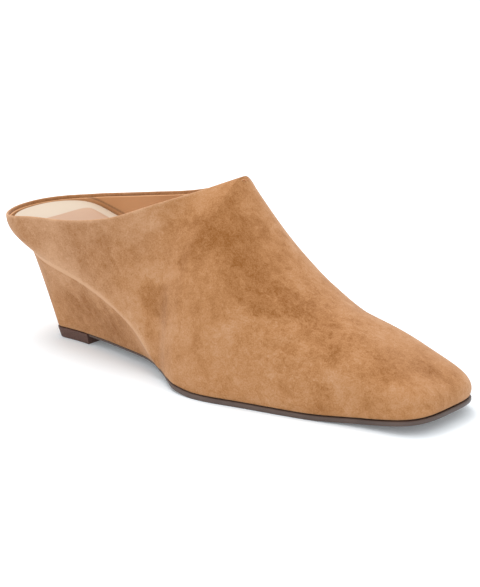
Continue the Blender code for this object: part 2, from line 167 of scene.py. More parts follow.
def read(columns, name, at, key="along"):
    """A column's value at any place, by cubics whose slopes are harmonic means, which never overshoot."""
    knots, values = columns[key], columns[name]
    steps = np.diff(values) / np.diff(knots)
    before, after = steps[:-1], steps[1:]
    same_way = before * after > 0
    mean = 2 * before * after / np.where(same_way, before + after, 1)
    slopes = np.concatenate([steps[:1], np.where(same_way, mean, 0), steps[-1:]])
    at = np.clip(at, knots[0], knots[-1])
    i = np.clip(np.searchsorted(knots, at, side="right") - 1, 0, len(knots) - 2)
    width = knots[i + 1] - knots[i]
    t = (at - knots[i]) / width
    start = (1 + 2 * t) * (1 - t) ** 2 * values[i] + t * (1 - t) ** 2 * width * slopes[i]
    end = t**2 * (3 - 2 * t) * values[i + 1] + t**2 * (t - 1) * width * slopes[i + 1]
    return start + end


def rounded(distance, reach_and_power):
    """A superellipse's quarter: 0 at an outline's end, 1 from its reach on."""
    reach, power = reach_and_power
    t = np.clip(distance / reach, 0, 1)
    return (1 - (1 - t) ** power) ** (1 / power)


def eased(t):
    """0 to 1 with level ends: 3 t squared less 2 t cubed."""
    t = np.clip(t, 0, 1)
    return t**2 * (3 - 2 * t)


def spread(start, end, count):
    """Places from start to end by a cosine, so closer together at both ends."""
    return start + (end - start) * (0.5 - 0.5 * np.cos(np.pi * np.linspace(0, 1, count)))


def unit(vectors):
    """Each vector over its own length."""
    return vectors / (np.linalg.norm(vectors, axis=-1, keepdims=True) + 1e-12)


def sole_top(x):
    """Height of the outsole's top: raised in the waist, flat under the ball, sprung at the toe."""
    share = x / LENGTH
    lift = WAIST_LIFT * read(GROUND, "waist", share) + TOE_SPRING * read(GROUND, "spring", share)
    return OUTSOLE_THICKNESS + lift


def outline_edges(lateral, medial, ends):
    """Both edges of an outline: its centre line, less and plus its half width with its ends rounded."""
    centre = (medial - lateral) / 2
    half = (medial + lateral) / 2 * ends
    return centre - half, centre + half


def lower_edge(x):
    """Both edges of the upper's lower outline, with the ridge's height, or that of the outsole's top."""
    widths = [BALL_WIDTH * read(LAST, side, x / LENGTH) for side in ("lateral", "medial")]
    lines = outline_edges(*widths, rounded(x - HEEL_FLARE, HEEL_ROUND) * rounded(LENGTH - x, TOE_ROUND))
    height = sole_top(x) + CLEARANCE + WEDGE_HEIGHT * read(LAST, "ridge", x / LENGTH)
    return [np.stack([x, y, height], axis=-1) for y in lines]


def topline(x):
    """Both sides of the open rim, from the back of the heel to the peak."""
    reach = x / PEAK_REACH
    widths = [RIM_WIDTH * read(RIM, side, reach, "reach") for side in ("lateral", "medial")]
    lines = outline_edges(*widths, rounded(x, RIM_ROUND) * rounded(PEAK_REACH - x, PEAK_ROUND))
    climbs = [read(RIM, side, reach, "reach") for side in ("lateral_climb", "medial_climb")]
    climb_height = INSTEP_HEIGHT - HEEL_HEIGHT
    return [np.stack([x, y, HEEL_HEIGHT + climb_height * c], axis=-1) for y, c in zip(lines, climbs)]


def crown_line(x):
    """The middle line of the closed vamp, from the peak to the toe."""
    reach = (x - PEAK_REACH) / CROWN_LENGTH
    height = TOE_HEIGHT + (INSTEP_HEIGHT - TOE_HEIGHT) * read(CROWN, "height", reach, "reach")
    return np.stack([x, BALL_WIDTH * read(CROWN, "medial", reach, "reach"), height], axis=-1)


def as_ring(lateral, medial):
    """One closed round: the lateral side from heel to toe, then the medial side back."""
    return np.concatenate([lateral, medial[-2:0:-1]])


def as_sides(ring):
    """The lateral and the medial side of a ring, each from heel to toe."""
    count = len(ring) // 2 + 1
    return ring[:count], np.concatenate([ring[:1], ring[: count - 1 : -1], ring[count - 1 : count]])


def rib_handles(starts, ends):
    """The four control points of every rib, as rings: foot, low and high handle, top. Then its way out.

    The low handle leans out from the foot and rises by the belly's share. The high one hangs under an
    upright rib's top, and lies along the arch of a closed one. The two are blended just before the peak.
    """
    closed = np.arange(len(starts)) >= HEEL_RIBS - 1
    crown = crown_line(np.maximum(ends, PEAK_REACH))
    slope = np.gradient(crown[:, 2]) / (np.gradient(crown[:, 0]) + 1e-9)
    slope = np.where(closed, slope, slope[HEEL_RIBS - 1])
    share = starts / LENGTH
    lean = BALL_WIDTH * read(RIBS, "lean", share)[:, None]
    arched = eased((starts - starts[HEEL_RIBS - 1]) / PEAK_BLEND + 1)[:, None]
    sides = []
    for foot, rim, sign in zip(lower_edge(starts), topline(np.minimum(ends, PEAK_REACH)), (-1, 1)):
        top = np.where(closed[:, None], crown, rim)
        run = np.gradient(foot[:, :2], axis=0)
        run[0] = (0, sign)
        run[-1] = (0, -sign)
        out = unit(np.stack([-run[:, 1] * sign, run[:, 0] * sign], axis=-1))
        rise = (top - foot)[:, 2:]
        low = foot + np.hstack([out * lean, rise * read(RIBS, "belly", share)[:, None]])
        reach_in = (foot - top)[:, :2] * read(RIBS, "crown", share)[:, None]
        arch = top + np.column_stack([reach_in, slope * reach_in[:, 0]])
        upright = top - np.hstack([0 * out, rise * read(RIBS, "crown", share)[:, None]])
        high = upright * (1 - arched) + arch * arched
        sides.append((foot, low, high, top, np.column_stack([out, 0 * out[:, 0]])))
    return [as_ring(*pair)[:, None] for pair in zip(*sides)]


peak_start = PEAK_REACH + PEAK_STATION
rib_starts = np.concatenate(
    [spread(HEEL_FLARE, peak_start, HEEL_RIBS), spread(peak_start, LENGTH, TOE_RIBS)[1:]]
)
rib_ends = np.concatenate(
    [spread(0, PEAK_REACH, HEEL_RIBS), PEAK_REACH + spread(0, CROWN_LENGTH, TOE_RIBS)[1:]]
)
foot_handle, low_handle, high_handle, top_handle, rib_out = rib_handles(rib_starts, rib_ends)
ring_places = np.arange(len(foot_handle))
other_side = -ring_places % len(ring_places)  # the rib at the same place on the other side
heel_to_toe = np.minimum(ring_places, other_side)
is_open = heel_to_toe < HEEL_RIBS - 1


def skin(v):
    """The upper's outside at places v up the ribs, by the cubic through their four control points."""
    v = v[..., None]
    ends = (1 - v) ** 3 * foot_handle + v**3 * top_handle
    return ends + 3 * (1 - v) ** 2 * v * low_handle + 3 * (1 - v) * v**2 * high_handle


def climb(v):
    """The skin's slope up the ribs: the derivative of that cubic."""
    v = v[..., None]
    ends = (1 - v) ** 2 * (low_handle - foot_handle) + v**2 * (top_handle - high_handle)
    return 3 * (ends + 2 * (1 - v) * v * (high_handle - low_handle))


def outward(v):
    """Unit normals of the skin: the way round times the way up. On the crown both sides share one."""
    points = skin(v)
    way_round = np.roll(points, -1, axis=0) - np.roll(points, 1, axis=0)
    normals = unit(np.cross(way_round, climb(v)))
    on_crown = (~is_open)[:, None, None] & (v > 0.9999)[..., None]
    return np.where(on_crown, unit(normals + normals[other_side]), normals)


rib_tops = np.ones((len(ring_places), 1))
rib_run = np.linalg.norm(climb(rib_tops), axis=-1)
rim_loop = np.concatenate([np.arange(HEEL_RIBS), other_side[1 : HEEL_RIBS - 1][::-1]])
rim_points, rim_normals = skin(rib_tops)[rim_loop, 0], outward(rib_tops)[rim_loop, 0]
rim_way = np.roll(rim_points, -1, axis=0) - np.roll(rim_points, 1, axis=0)
off_edge = np.zeros((len(ring_places), 3))
off_edge[rim_loop] = unit(np.cross(rim_normals, rim_way))
off_edge[~is_open] = off_edge[HEEL_RIBS - 1]
past_peak = np.linalg.norm(top_handle[:, 0] - top_handle[HEEL_RIBS - 1, 0], axis=-1)
pull = np.where(is_open, 1, np.exp(-past_peak / FOLD_PULL))[:, None]
off_peak = eased(past_peak / PEAK_FADE)[:, None] * is_open[:, None]


def leather(depth, start, rows, drawn_back):
    """Points and normals of a layer: the skin moved in by a depth and drawn back from the topline.

    The drawing back dies away down the rib as an exponential of the way from its top.
    """
    v = start + (1 - start) * np.linspace(0, 1, rows)[None, :]
    v = np.broadcast_to(v, (len(ring_places), rows))
    normals = outward(v)
    back = drawn_back * pull * np.exp(-(1 - v) * rib_run / FOLD_PULL)
    return skin(v) - depth * normals - back[..., None] * off_edge[:, None], normals


def turned(start, corner, end, count):
    """Points round a corner without the two ends: the parabola that the corner pulls."""
    t = np.linspace(0, 1, count + 2)[1:-1][None, :, None]
    return (1 - t) ** 2 * start[:, None] + 2 * (1 - t) * t * corner[:, None] + t**2 * end[:, None]


def rolled_edge(top, normal, thickness, count):
    """A half circle over the topline, from a layer's outside to its inside."""
    angle = np.linspace(0, np.pi, count + 2)[1:-1][None, :, None]
    centre = (top - thickness / 2 * normal)[:, None]
    return centre + thickness / 2 * (np.cos(angle) * normal[:, None] + np.sin(angle) * off_edge[:, None])


def new_object(name, points, faces, fields=None):
    """A smooth closed mesh object. Points that share a place are joined, and faces point out."""
    mesh = bpy.data.meshes.new(name)
    mesh.from_pydata((points + MIDDLE).tolist(), [], faces.tolist())
    for key, values in (fields or {}).items():
        mesh.attributes.new(key, "FLOAT", "POINT").data.foreach_set("value", values.ravel())
    shape = bmesh.new()
    shape.from_mesh(mesh)
    bmesh.ops.remove_doubles(shape, verts=shape.verts, dist=SAME_PLACE)
    bmesh.ops.recalc_face_normals(shape, faces=shape.faces)
    shape.to_mesh(mesh)
    shape.free()
    mesh.shade_smooth()
    mesh.set_sharp_from_angle(angle=SHARP_ANGLE)
    piece = bpy.data.objects.new(name, mesh)
    bpy.context.scene.collection.objects.link(piece)
    return piece


def round_faces(count, rows):
    """Quads of a grid of ribs by rows, joined to itself both ways."""
    index = np.arange(count * rows).reshape(count, rows)
    after = np.roll(index, -1, axis=0)
    return np.stack([index, after, np.roll(after, -1, axis=1), np.roll(index, -1, axis=1)], axis=-1)


def shell(name, outside, fold, inside, fields=None):
    """A closed shell of an outside, a folded edge and an inside. The closed vamp's ribs have no fold."""
    rounds = np.concatenate([outside, fold, inside[:, ::-1]], axis=1)
    faces = round_faces(*rounds.shape[:2])
    row = np.arange(rounds.shape[1])
    in_fold = (row >= outside.shape[1] - 1) & (row < outside.shape[1] + fold.shape[1])
    beside_open = is_open | np.roll(is_open, -1)
    kept = beside_open[:, None] | ~in_fold[None]
    return new_object(name, rounds.reshape(-1, 3), faces[kept], fields)


def wedge_foot(starts):
    """Both edges of the wedge's foot, rounded at its back, for ribs that start at these places."""
    share = (starts - HEEL_FLARE) / (RIDGE_END * LENGTH - HEEL_FLARE)
    x = WEDGE_SETBACK + (RIDGE_END * LENGTH - WEDGE_SETBACK) * np.minimum(share, 1)
    widths = [BALL_WIDTH * read(FOOT, side, x / LENGTH) for side in ("lateral", "medial")]
    lines = outline_edges(*widths, rounded(x - WEDGE_SETBACK, FOOT_ROUND))
    return [np.stack([x, y, sole_top(x) + CLEARANCE], axis=-1) for y in lines]


# Soft folds that wear leaves in the leather, each along a line between two places. All numbers are
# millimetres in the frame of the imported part, and a depth below 0 swells out.
FOLDS = table(
    "x y z to_x to_y to_z width depth",
    (-24, -23, 46, -12, -29, 24, 5.0, 0.35),
    (-16, -23, 58, -6, -27, 44, 8.0, -0.35),
    (9, -17, 76, 11, -24, 58, 6.0, 0.30),
    (21, -6, 76, 34, -14, 54, 7.0, 0.22),
    (30, -8, 60, 42, -14, 47, 8.0, 0.40),
    (44, -6, 50, 54, -5, 43, 6.0, 0.30),
    (40, -22, 45, 60, -4, 42, 3.2, -0.28),
    (46, -26, 37, 66, -8, 39, 2.2, 0.26),
    (50, -27, 31, 72, -10, 36, 2.0, -0.20),
    (56, -26, 29, 78, -8, 34, 2.0, 0.24),
    (60, -27, 24, 84, -12, 30, 2.4, -0.20),
    (70, -25, 23, 92, -8, 29, 2.6, 0.22),
    (48, 6, 48, 56, 22, 36, 3.0, 0.20),
    (58, 4, 43, 66, 22, 30, 2.4, 0.16),
    (66, 4, 38, 74, 22, 26, 2.2, 0.14),
    (78, -28, 12, 92, -24, 10, 4.5, 0.18),
    (30, -34, 30, 52, -32, 20, 9.0, -0.25),
    (14, -36, 12, 22, -38, 24, 5.0, 0.15),
    (104, -10, 26, 120, 8, 18, 7.0, 0.15),
    (-20, 25, 50, -6, 29, 28, 6.0, 0.30),
    (8, 22, 66, 16, 28, 46, 7.0, 0.25),
)
FOLD_MARGIN = 0.007  # how far from the topline and from the ridge a fold has its full depth
LINING_OUT, LINING_DROP = 0.00122, 0.0021  # the lining's glued face under the skin, and its edge's drop
GROOVE_SHADE_REACH = 0.0006  # how far the painted shade in the groove between suede and lining runs
RIDGE_HIGHLIGHT_REACH, WALL_HIGHLIGHT_REACH, TOPLINE_HIGHLIGHT_REACH = 0.011, 0.0014, 0.0018  # how far the painted highlight, with rubbed nap, runs along the ridge, the wedge's wall and the topline


def folded(points, normals):
    """The skin sunk along each fold, by its depth times a bell curve of the distance from its line."""
    sunk = np.zeros(points.shape[:2])
    for fold in np.stack(list(FOLDS.values()), axis=-1) / 1000:
        start, way, (width, depth) = fold[:3] - MIDDLE, fold[3:6] - fold[:3], fold[6:]
        share = np.clip((points - start) @ way / (way @ way), 0, 1)
        away = np.linalg.norm(points - start - share[..., None] * way, axis=-1)
        sunk += depth * np.exp(-((away / width) ** 2))
    to_topline = np.linalg.norm(points - top_handle, axis=-1) + (~is_open)[:, None]
    to_foot = np.linalg.norm(points - foot_handle, axis=-1)
    fade = eased(to_topline / FOLD_MARGIN) * eased(to_foot / FOLD_MARGIN)
    return points - (sunk * fade)[..., None] * normals


def nearness(points, line, reach):
    """1 on a line and 0 from its reach on, eased by the distance from each rib's own place on it."""
    return eased(1 - np.linalg.norm(points - line[:, None], axis=-1) / reach)


# The lower edge turns round the ridge, crisp in the waist and soft at the heel. Ahead of the wedge it
# turns in under the last.
wedge_cover = (WEDGE_HEIGHT * read(LAST, "ridge", rib_starts / LENGTH))[heel_to_toe]
on_wedge = eased(wedge_cover / SHALLOW_WEDGE)[:, None]
softness = eased((wedge_cover / WEDGE_HEIGHT - TURN_CHANGE) / TURN_CHANGE_LENGTH)
turn = CRISP_TURN + (SOFT_TURN - CRISP_TURN) * softness
ridge_line = skin(np.zeros((len(ring_places), 1)))[:, 0]
down_wall = unit(as_ring(*wedge_foot(rib_starts)) - ridge_line)
way_on = unit(down_wall * on_wedge - rib_out[:, 0] * (1 - on_wedge))
turn_start = turn[:, None] / np.linalg.norm(climb(np.zeros((len(ring_places), 1))), axis=-1)
suede_out, suede_normals = leather(0, turn_start, rows=76, drawn_back=SUEDE_THICKNESS / 2)
suede_in = leather(SUEDE_THICKNESS, 0 * turn_start, rows=18, drawn_back=SUEDE_THICKNESS / 2)[0]
turn_end = ridge_line + turn[:, None] * way_on
edge_turn = turned(turn_end, ridge_line, suede_out[:, 0], count=6)
suede_fold = rolled_edge(suede_out[:, -1], suede_normals[:, -1], SUEDE_THICKNESS, count=7)
suede_outside = np.concatenate([turn_end[:, None], edge_turn, folded(suede_out, suede_normals)], axis=1)
lining_edge = leather(LINING_OUT, 0 * turn_start, rows=2, drawn_back=LINING_DROP)[0][:, -1]
suede_rounds = np.concatenate([suede_outside, suede_fold, suede_in[:, ::-1]], axis=1)
# Fields of painted light: a pale painted highlight, with rubbed nap, along the ridge and the topline, and
# painted shade in the groove under the fold.
edge_fields = {
    "ridge": nearness(suede_rounds, ridge_line, RIDGE_HIGHLIGHT_REACH) * on_wedge,
    "topline": nearness(suede_rounds, top_handle[:, 0], TOPLINE_HIGHLIGHT_REACH) * is_open[:, None],
    "painted_groove_shade": nearness(suede_rounds, lining_edge, GROOVE_SHADE_REACH) * off_peak,
}
upper = shell("suede_upper", suede_outside, suede_fold, suede_in, edge_fields)


class Wire:
    """One socket in a material. + - * ** on it add Math nodes, and any other node comes from `node`."""

    def __init__(self, tree, socket=None):
        self.tree = tree
        self.socket = socket

    def node(self, kind, settings, sockets, output=0):
        """Adds a node: first its settings, then the values or links of its sockets. Gives one output."""
        made = self.tree.nodes.new("ShaderNode" + kind)
        for name, value in settings.items():
            setattr(made, name, value)
        for name, value in sockets.items():
            if isinstance(value, Wire):
                self.tree.links.new(value.socket, made.inputs[name])
            else:
                made.inputs[name].default_value = value
        return Wire(self.tree, made.outputs[output])

    def maths(self, operation, *values):
        """A Math node on one or two values."""
        return self.node("Math", {"operation": operation}, dict(enumerate(values)))

    def __add__(self, other):
        return self.maths("ADD", self, other)

    __radd__ = __add__

    def __sub__(self, other):
        return self.maths("SUBTRACT", self, other)

    def __rsub__(self, other):
        return self.maths("SUBTRACT", other, self)

    def __mul__(self, other):
        return self.maths("MULTIPLY", self, other)

    __rmul__ = __mul__

    def __pow__(self, other):
        return self.maths("POWER", self, other)

    def between(self, low, high):
        """0 below low, 1 above high, eased in between."""
        return self.node(
            "MapRange",
            {"interpolation_type": "SMOOTHSTEP"},
            {"Value": self, "From Min": low, "From Max": high},
        )

    def mix(self, first, second):
        """The first colour where this is 0, the second where it is 1."""
        ends = {"Factor": self, 6: first, 7: second}
        return self.node("Mix", {"data_type": "RGBA", "clamp_factor": True}, ends, 2)

    def away_from(self, point):
        """How far this place is from a point."""
        return self.node("VectorMath", {"operation": "DISTANCE"}, {0: self, 1: point}, 1)

    def bump(self, strength, distance):
        """The normal of a surface that has this as its relief."""
        return self.node("Bump", {}, {"Strength": strength, "Distance": distance, "Height": self})


def new_material(name, **values):
    """A material, with its shader's fixed values. Gives it with its shader and its Object coordinates."""
    made = bpy.data.materials.new(name)
    made.use_nodes = True
    shader = made.node_tree.nodes["Principled BSDF"]
    for key, value in values.items():
        shader.inputs[key.replace("_", " ")].default_value = value
    return made, shader, Wire(made.node_tree).node("TexCoord", {}, {}, 3)


def feed(shader, **links):
    """Links wires to the shader's sockets."""
    for key, wire in links.items():
        wire.tree.links.new(wire.socket, shader.inputs[key.replace("_", " ")])


# Suede has a brushed nap, dark and warm where it lies down and pale where it stands up. Along the ridge
# and
# the topline it is painted pale: a painted highlight with rubbed nap. Lit and shaded areas are painted in
# too.
SUEDE_MID = (0.432, 0.200, 0.074, 1)
SUEDE_DARK = (0.245, 0.082, 0.008, 1)
SUEDE_PALE = (0.56, 0.315, 0.172, 1)
SUEDE_FADED = (0.410, 0.210, 0.102, 1)
# Painted shade for the groove between the suede's fold and the lining.
PAINTED_GROOVE_SHADE = (0.09, 0.038, 0.016, 1)
# Brushed areas and painted light: the dark ones are blotches of the nap, and the broad dark ones low on
# the wedge's wall are painted shade where it faces down. The pale ones are mostly painted highlight where
# the toe, the band above the ridge, the heel's side and the vamp's top outline face the light. Each is a
# place in the frame of the imported part and its reach, both in millimetres, and its strength, dark below
# 0.
BRUSHED_AND_PAINTED_LIGHT = (
    (8, -19, 67, 17, -0.9),
    (22, -10, 66, 15, -0.6),
    (37, -13, 53, 19, -0.65),
    (20, -14, 62, 30, -0.4),
    (-55, -25, 52, 36, -0.2),
    (-4, -30, 40, 28, -0.1),
    (-64, -22, 37, 9, 0.3),
    (-45, -24, 31, 10, 0.45),
    (-31, -25, 24, 9, 0.45),
    (-20, -28, 15, 8, 0.4),
    (68, -14, 33, 24, -0.4),
    (50, -6, 46, 14, -0.7),
    (26, 2, 70, 9, -0.5),
    (29, -28, 43, 11, -0.4),
    (10, -12, 82, 16, -0.3),
    (-16, -28, 33, 14, -0.7),
    (-77, -15, 15, 24, -0.5),
    (-42, -20, 10, 30, -0.75),
    (-62, -18, 20, 20, -0.3),
    (105, -4, 26, 26, -0.35),
    (-30, -22, 34, 9, 0.4),
    (84, -26, 9, 12, -0.6),
    (-66, -20, 27, 10, -0.6),
    (-76, -19, 21, 8, -0.4),
    (-50, -20, 16, 9, -0.4),
    (81, -12, 32, 14, -0.3),
    (116, 8, 20, 14, -0.35),
    (66, -10, 38, 16, -0.3),
    (-7, -17, 70, 20, -0.3),
    (102, -14, 22, 22, -0.2),
    (-12, -23, 52, 13, 0.6),
    (-27, -20, 74, 12, 0.5),
    (114, -16, 16, 12, 0.7),
    (92, -23, 16, 12, 0.6),
    (29, -34, 28, 16, 0.3),
    (93, -9, 29, 9, 0.3),
    (124, 22, 10, 10, 0.5),
    (-77, -25, 45, 18, 0.3),
    (52, 3, 52, 7, 0.4),
    (30, 12, 66, 8, 0.6),
    (60, 24, 30, 16, -0.4),
    (0, 27, 50, 18, -0.4),
    (-60, 20, 20, 22, -0.5),
)
FADED, FADED_REACH = (-0.078, -0.015, 0.078), 0.080  # where the back half has gone greyer
FLEXED, FLEXED_REACH = (0.066, -0.012, 0.034), 0.045  # where the vamp bends and the nap is ruffled
suede, shader, place = new_material(
    "suede", Roughness=0.95, Sheen_Weight=0.28, Sheen_Roughness=0.4, Sheen_Tint=(1.0, 0.82, 0.68, 1)
)


def noise(place, scale, detail=2.0, roughness=0.5, distortion=0.0):
    """Soft noise of about one over scale metres, around 0.5."""
    sockets = {"Vector": place, "Scale": scale, "Detail": detail, "Roughness": roughness}
    return place.node("TexNoise", {}, {**sockets, "Distortion": distortion})


def bent(place, scale, far):
    """The place moved about by soft noise, so that what is drawn on it has uneven edges."""
    cloud = place.node("TexNoise", {}, {"Vector": place, "Scale": scale, "Detail": 2.0}, 1)
    centred = place.node("VectorMath", {"operation": "SUBTRACT"}, {0: cloud, 1: (0.5, 0.5, 0.5)})
    sockets = {0: centred, 1: (far, far, far), 2: place}
    return place.node("VectorMath", {"operation": "MULTIPLY_ADD"}, sockets)


def combed(place, tilt, turn, stretch):
    """The place squeezed along a tilted and turned upright, so that noise draws out into strokes."""
    sockets = {"Vector": place, "Rotation": (0, tilt, turn), "Scale": (1, 1, stretch)}
    return place.node("Mapping", {"vector_type": "TEXTURE"}, sockets)


def field(place, name):
    """The mesh's own field of that name, from 0 to 1."""
    return place.node("Attribute", {"attribute_name": name}, {}, 2)


uneven = bent(place, 75, 0.030)
brushed_and_painted_light_areas = 0.0
for x, y, z, reach, strength in BRUSHED_AND_PAINTED_LIGHT:
    away = uneven.away_from((x / 1000, y / 1000, z / 1000))
    brushed_and_painted_light_areas = away.between(reach / 1000, reach / 4000) * strength + brushed_and_painted_light_areas
ridge = field(place, "ridge")
topline_highlight = field(place, "topline")
wandering = bent(place, 260, 0.006)
clouds = noise(place, 55, 4.0, 0.6, 0.4)
down_strokes = noise(combed(wandering, -0.55, 0.2, 2.8), 520, 3.0, 0.65)
across_strokes = noise(combed(wandering, 1.75, 0.65, 2.8), 520, 3.0, 0.65)
strokes = down_strokes + clouds.between(0.46, 0.54) * (across_strokes - down_strokes)
mottle = noise(wandering, 190, 2.0, 0.6)
feathers = noise(combed(wandering, 1.75, 0.5, 2.0), 400, 4.0, 0.72, 1.2)
flexed = uneven.away_from(FLEXED).between(FLEXED_REACH, 0.3 * FLEXED_REACH)
faded = uneven.away_from(FADED).between(FADED_REACH, 0.3 * FADED_REACH)
grain = noise(place, 1600, 2.0, 0.75)
fibres = noise(place, 3000, 1.0)
# Painted highlight, with rubbed nap: a pale band and a crisp pale line along the ridge, and a pale line
# along the topline.
highlight_and_rubbed_edges = ridge * 0.46 + ridge**26 * 0.9 + topline_highlight * 0.6
# The nap is 0 where it was never brushed, below 0 where it lies down dark, and above 0 where it is pale.
# Painted highlight and painted shade are added to it: the lit and shaded areas, and the pale ridge and
# topline.
nap_and_painted_light = (clouds - 0.5) * 1.5 + (mottle - 0.5) * 0.8 + (strokes - 0.5) + (grain - 0.5) * 1.7
nap_and_painted_light = nap_and_painted_light + (feathers - 0.5) * (flexed * 1.1 + 0.9) + brushed_and_painted_light_areas * 0.58 + highlight_and_rubbed_edges
colour = (faded * 0.75).mix(SUEDE_MID, SUEDE_FADED)
colour = (nap_and_painted_light * -1).mix(colour, SUEDE_DARK)
colour = nap_and_painted_light.mix(colour, SUEDE_PALE)
# Painted shade darkens the groove between the suede's fold and the lining.
colour = (field(place, "painted_groove_shade") * 0.9).mix(colour, PAINTED_GROOVE_SHADE)
relief = strokes * 0.6 + feathers * 0.6 + grain * 0.5 + fibres * 0.4 + mottle * 0.4
feed(shader, Base_Color=colour, Normal=relief.bump(0.3, 0.0005))
upper.data.materials.append(suede)
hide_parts("upper")
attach(upper, "root")


# Lining
# A thin smooth calf leather, glued inside the suede from the topline down. Its cut edge lies a little
# below the suede's fold, so that a fine groove runs between the two, darkened with painted shade. A line
# of painted shade also runs on it just above the footbed.
LINING_IN = 0.0021  # its inner face, in from the shoe's outside
SHADE_LINE_RISE, SHADE_LINE_REACH = 0.0016, 0.0009  # the height above the footbed of a line of painted shade on the lining, and its reach
SOCK_THICKNESS, INSOLE_THICKNESS = 0.001, 0.0035
DISH = 0.0010  # how much lower the middle of the footbed lies at the heel than its sides
STACK = SOCK_THICKNESS + INSOLE_THICKNESS + 2 * CLEARANCE
BED_RISE = WEDGE_HEIGHT - STACK
# Footbed above its level at the ball, as a share of its rise at the heel.
BED = table(
    "along rise",
    (0.000, 1.000),
    (0.060, 0.965),
    (0.139, 0.860),
    (0.239, 0.705),
    (0.358, 0.497),
    (0.457, 0.320),
    (0.557, 0.150),
    (0.620, 0.055),
    (0.680, 0.000),
    (1.000, 0.000),
)


def bed_height(x, y, drop=0.0):
    """Height of the footbed, dished across by a parabola, or of a layer that lies `drop` below it."""
    rise = read(BED, "rise", x / LENGTH)
    lateral, medial = [BALL_WIDTH * read(LAST, side, x / LENGTH) for side in ("lateral", "medial")]
    across = (2 * y - medial + lateral) / (medial + lateral)
    return sole_top(x) + STACK + BED_RISE * rise - DISH * rise * np.clip(1 - across**2, 0, 1) - drop


lining_out, lining_normals = leather(LINING_OUT, 0 * turn_start, rows=14, drawn_back=LINING_DROP)
lining_in = leather(LINING_IN, 0 * turn_start, rows=96, drawn_back=LINING_DROP)[0]
lining_thickness = LINING_IN - LINING_OUT
lining_fold = rolled_edge(lining_out[:, -1], lining_normals[:, -1], lining_thickness, count=5)
lining_rounds = np.concatenate([lining_out, lining_fold, lining_in[:, ::-1]], axis=1)
over_bed = lining_rounds[..., 2] - bed_height(lining_rounds[..., 0], lining_rounds[..., 1])
# Fields of painted shade: the groove under the suede's fold, and a line just above the footbed.
lining_fields = {
    "painted_groove_shade": nearness(lining_rounds, lining_edge, GROOVE_SHADE_REACH) * off_peak,
    "painted_shade_line": eased(1 - abs(over_bed - SHADE_LINE_RISE) / SHADE_LINE_REACH),
}
lining = shell("lining", lining_out, lining_fold, lining_in, lining_fields)


def pores(place, scale):
    """The hair pores of smooth leather, as cells of one over scale metres."""
    return place.node("TexVoronoi", {"feature": "F1"}, {"Vector": place, "Scale": scale})


smooth_calf, shader, place = new_material(
    "smooth_calf", Roughness=0.5, Coat_Weight=0.06, Coat_Roughness=0.45
)
cloudy = noise(place, 30, 2.0).between(0.25, 0.75)
colour = cloudy.mix((0.60, 0.30, 0.128, 1), (0.68, 0.36, 0.17, 1))
# Painted shade in the groove under the suede's fold and in the line just above the footbed.
in_shade = field(place, "painted_groove_shade") * 0.9 + field(place, "painted_shade_line") * 0.55
feed(
    shader,
    Base_Color=in_shade.mix(colour, PAINTED_GROOVE_SHADE),
    Normal=pores(place, 1900.0).bump(0.12, 0.0002),
    Roughness=0.44 + cloudy * 0.12,
)
lining.data.materials.append(smooth_calf)
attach(lining, "root")


# Wedge
# A light core wrapped in the same suede. Its wall slants in from the ridge to a small foot, where the
# suede is turned under, and its top stands up inside the upper to carry the insole.
CORE_END = 0.630  # the front of the core, as a share of LENGTH
LEAST_COVER = 0.0006  # the height of wedge under which it has no wall of its own
COVER_START = 0.7  # the top edge of the wall's cover, as a share of the way round the ridge's turn
COVER_TUCK = 0.0003  # how far that edge is tucked in under the ridge
FOOT_TURN = 0.0008
WALL_ROWS, FINE_ROWS, CORE_ROWS, CROSS_STRIPS = 26, 80, 3, 16


def at_height(depth, drop):
    """The ring where the inside of the wall, at a depth, meets a layer of the footbed."""
    v = np.broadcast_to(np.linspace(0, 1, FINE_ROWS)[None, :], (len(ring_places), FINE_ROWS))
    inside = skin(v) - depth * outward(v)
    over = inside[..., 2] - bed_height(inside[..., 0], inside[..., 1], drop)
    after = np.clip((over > 0).argmax(axis=1), 1, FINE_ROWS - 1)
    low, high = over[ring_places, after - 1], over[ring_places, after]
    part = np.clip(-low / (high - low), 0, 1)[:, None]
    ring = inside[ring_places, after - 1] * (1 - part) + inside[ring_places, after] * part
    ring[:, 2] = bed_height(ring[:, 0], ring[:, 1], drop)
    return ring


def straight_across(lateral, medial):
    """A grid of straight strips from one edge to the other."""
    t = np.linspace(0, 1, CROSS_STRIPS + 1)[None, :, None]
    return lateral[:, None] * (1 - t) + medial[:, None] * t


def plate(lateral, medial, height):
    """Strips across between two edges, with the height that a function gives."""
    grid = straight_across(lateral, medial)
    grid[..., 2] = height(grid[..., 0], grid[..., 1])
    return grid


def border(grid):
    """The grid's outer round of points, in order."""
    return np.concatenate([grid[:, 0], grid[-1, 1:-1], grid[::-1, -1], grid[0, -2:0:-1]])


def cap_faces(rows, columns):
    """Quads of an open grid."""
    index = np.arange(rows * columns).reshape(rows, columns)
    corners = (index[:-1, :-1], index[1:, :-1], index[1:, 1:], index[:-1, 1:])
    return np.stack(corners, axis=-1).reshape(-1, 4)


def layered(name, bottom, rings, top, fields=None):
    """A closed solid between two grids, with rings of points down its side between their borders."""
    rounds = np.stack([border(bottom), *rings, border(top)], axis=1)
    points = [bottom.reshape(-1, 3), top.reshape(-1, 3), rounds.reshape(-1, 3)]
    cap = cap_faces(*bottom.shape[:2])
    side = round_faces(*rounds.shape[:2])[:, :-1].reshape(-1, 4)
    faces = [cap, cap + len(points[0]), side + len(points[0]) + len(points[1])]
    return new_object(name, np.concatenate(points), np.concatenate(faces), fields)


